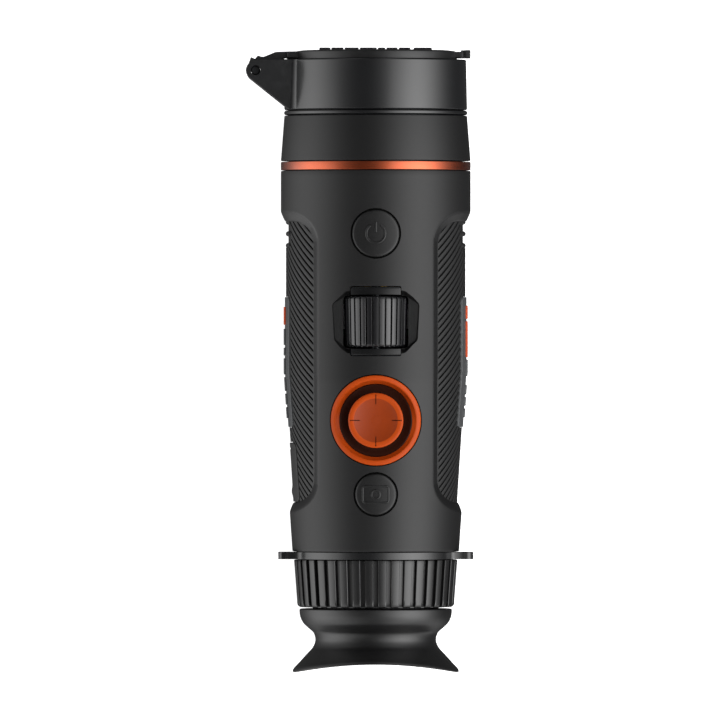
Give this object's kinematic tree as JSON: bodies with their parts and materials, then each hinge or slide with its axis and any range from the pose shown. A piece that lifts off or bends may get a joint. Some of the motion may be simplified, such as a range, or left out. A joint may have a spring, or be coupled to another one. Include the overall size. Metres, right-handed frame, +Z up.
{
  "type": "thermal imaging monocular",
  "caption": "Handheld round-bodied thermal monocular with hinged flip cap, focus wheel, thumb joystick, push buttons, ribbed diopter ring, strap ring and flared rubber eyecup.",
  "frame": {"origin": "middle of the flat underside of the tripod plate", "axes": "+Y along the optical axis towards the objective, +Z up to the button side, +X to the right seen from above with the objective ahead"},
  "size_m": [0.0718, 0.1974, 0.0645],
  "materials": {
    "soft_touch": "soft-touch charcoal coating",
    "grip_rubber": "moulded grip rubber",
    "plate_grey": "satin grey",
    "badge_orange": "satin orange",
    "anodised_orange": "anodised orange",
    "ring_paint": "satin black paint",
    "gloss_black": "glossy black",
    "matte_black": "matt black",
    "button_rubber": "matt button rubber",
    "wheel_black": "semi-gloss black",
    "eyecup_rubber": "soft matt rubber",
    "stick_orange": "satin orange",
    "boot_rubber": "dark rubber",
    "dark_metal": "black anodised",
    "bare_metal": "machined",
    "steel": "machined steel",
    "brass": "machined brass",
    "optical_glass": "coated optical glass",
    "germanium": "coated germanium",
    "circuit_board": "green solder mask",
    "battery_wrap": "shrink wrap",
    "inner_frame": "moulded frame"
  },
  "bodies": {
    "body": {"main_housing": "soft_touch", "grip_left": "grip_rubber", "grip_right": "grip_rubber", "side_plate_left": "plate_grey", "side_plate_right": "plate_grey", "badge_bar_left": "badge_orange", "badge_bar_right_front": "badge_orange", "badge_bar_right_rear": "badge_orange", "accent_ring": "anodised_orange", "objective_sleeve": "ring_paint", "bead_ring": "gloss_black", "cap_ring": "gloss_black", "hinge_pin": "steel", "objective_barrel": "dark_metal", "front_lens": "germanium", "front_oring": "eyecup_rubber", "front_lens_retainer": "dark_metal", "eyepiece_barrel": "dark_metal", "strap_ring": "gloss_black", "eyecup": "eyecup_rubber", "eye_lens": "optical_glass", "eye_lens_retainer": "dark_metal", "sensor_module": "bare_metal", "sensor_board": "circuit_board", "shutter_frame": "inner_frame", "main_board": "circuit_board", "battery_cell": "battery_wrap", "battery_cradle": "inner_frame", "display_module": "inner_frame", "usb_port": "steel", "usb_board": "circuit_board", "tripod_plate": "matte_black", "tripod_bush": "brass", "plate_screw_front": "steel", "plate_screw_rear": "steel", "joystick_bezel": "stick_orange", "joystick_boot": "boot_rubber", "joystick_base": "inner_frame", "power_switch": "inner_frame", "photo_switch": "inner_frame", "wheel_saddle_front": "gloss_black", "wheel_saddle_rear": "gloss_black"},
    "lid": {"lens_cap_lid": "matte_black", "lid_gasket": "eyecup_rubber"},
    "wheel": {"focus_wheel": "wheel_black", "wheel_axle": "steel", "focus_pinion": "brass"},
    "focus_ring": {"focus_ring_gear": "brass"},
    "carriage": {"focus_carriage": "bare_metal", "rear_lens": "germanium"},
    "stick_gimbal": {"joystick_gimbal": "steel"},
    "stick_stem": {"joystick_stem": "steel"},
    "stick_cap": {"joystick_cap": "stick_orange"},
    "power_key": {"power_button": "button_rubber"},
    "photo_key": {"photo_button": "button_rubber"},
    "diopter": {"diopter_ring": "ring_paint"},
    "eyepiece_cell": {"eyepiece_lens_cell": "dark_metal", "field_lens": "optical_glass"},
    "usb_door": {"usb_cover": "grip_rubber"},
    "shutter": {"shutter_blade": "dark_metal"}
  },
  "joints": [
    {"name": "lid_hinge", "type": "hinge", "parent": "body", "child": "lid", "pos_m": [-0.0379, 0.0881, 0.031], "axis": [0, 0, 1], "range_deg": [0, 240]},
    {"name": "focus_wheel_spin", "type": "hinge", "parent": "body", "child": "wheel", "pos_m": [0, 0.0088, 0.0545], "axis": [0, 1, 0], "range_deg": [-545, 545]},
    {"name": "focus_ring_spin", "type": "hinge", "parent": "body", "child": "focus_ring", "pos_m": [0, 0.023, 0.031], "axis": [0, 1, 0], "range_deg": [-108, 108]},
    {"name": "carriage_slide", "type": "slide", "parent": "body", "child": "carriage", "axis": [0, 1, 0], "range_m": [-0.0026, 0.0026]},
    {"name": "stick_pitch", "type": "hinge", "parent": "body", "child": "stick_gimbal", "pos_m": [0, -0.0223, 0.0515], "axis": [1, 0, 0], "range_deg": [-6, 6], "stiffness_Nm_per_rad": 0.05},
    {"name": "stick_roll", "type": "hinge", "parent": "stick_gimbal", "child": "stick_stem", "pos_m": [0, -0.0223, 0.0515], "axis": [0, 1, 0], "range_deg": [-6, 6], "stiffness_Nm_per_rad": 0.05},
    {"name": "stick_press", "type": "slide", "parent": "stick_stem", "child": "stick_cap", "axis": [0, 0, -1], "range_m": [0, 0.0007], "stiffness_N_per_m": 800},
    {"name": "power_press", "type": "slide", "parent": "body", "child": "power_key", "axis": [0, 0, -1], "range_m": [0, 0.0006], "stiffness_N_per_m": 600},
    {"name": "photo_press", "type": "slide", "parent": "body", "child": "photo_key", "axis": [0, 0, -1], "range_m": [0, 0.0006], "stiffness_N_per_m": 600},
    {"name": "diopter_turn", "type": "hinge", "parent": "body", "child": "diopter", "pos_m": [0, -0.074, 0.031], "axis": [0, 1, 0], "range_deg": [-60, 60]},
    {"name": "eyepiece_slide", "type": "slide", "parent": "body", "child": "eyepiece_cell", "axis": [0, 1, 0], "range_m": [-0.0016, 0.0016]},
    {"name": "usb_door_hinge", "type": "hinge", "parent": "body", "child": "usb_door", "pos_m": [-0.0276, -0.0297, 0.031], "axis": [0, 0, -1], "range_deg": [0, 100]},
    {"name": "shutter_swing", "type": "hinge", "parent": "body", "child": "shutter", "pos_m": [-0.014, 0.0165, 0.018], "axis": [0, -1, 0], "range_deg": [0, 40]}
  ],
  "couplings": [
    {"joint": "focus_wheel_spin", "follows": "focus_ring_spin", "ratio": -5},
    {"joint": "carriage_slide", "follows": "focus_ring_spin", "m_per_rad": -0.001325},
    {"joint": "eyepiece_slide", "follows": "diopter_turn", "m_per_rad": 0.00143}
  ]
}
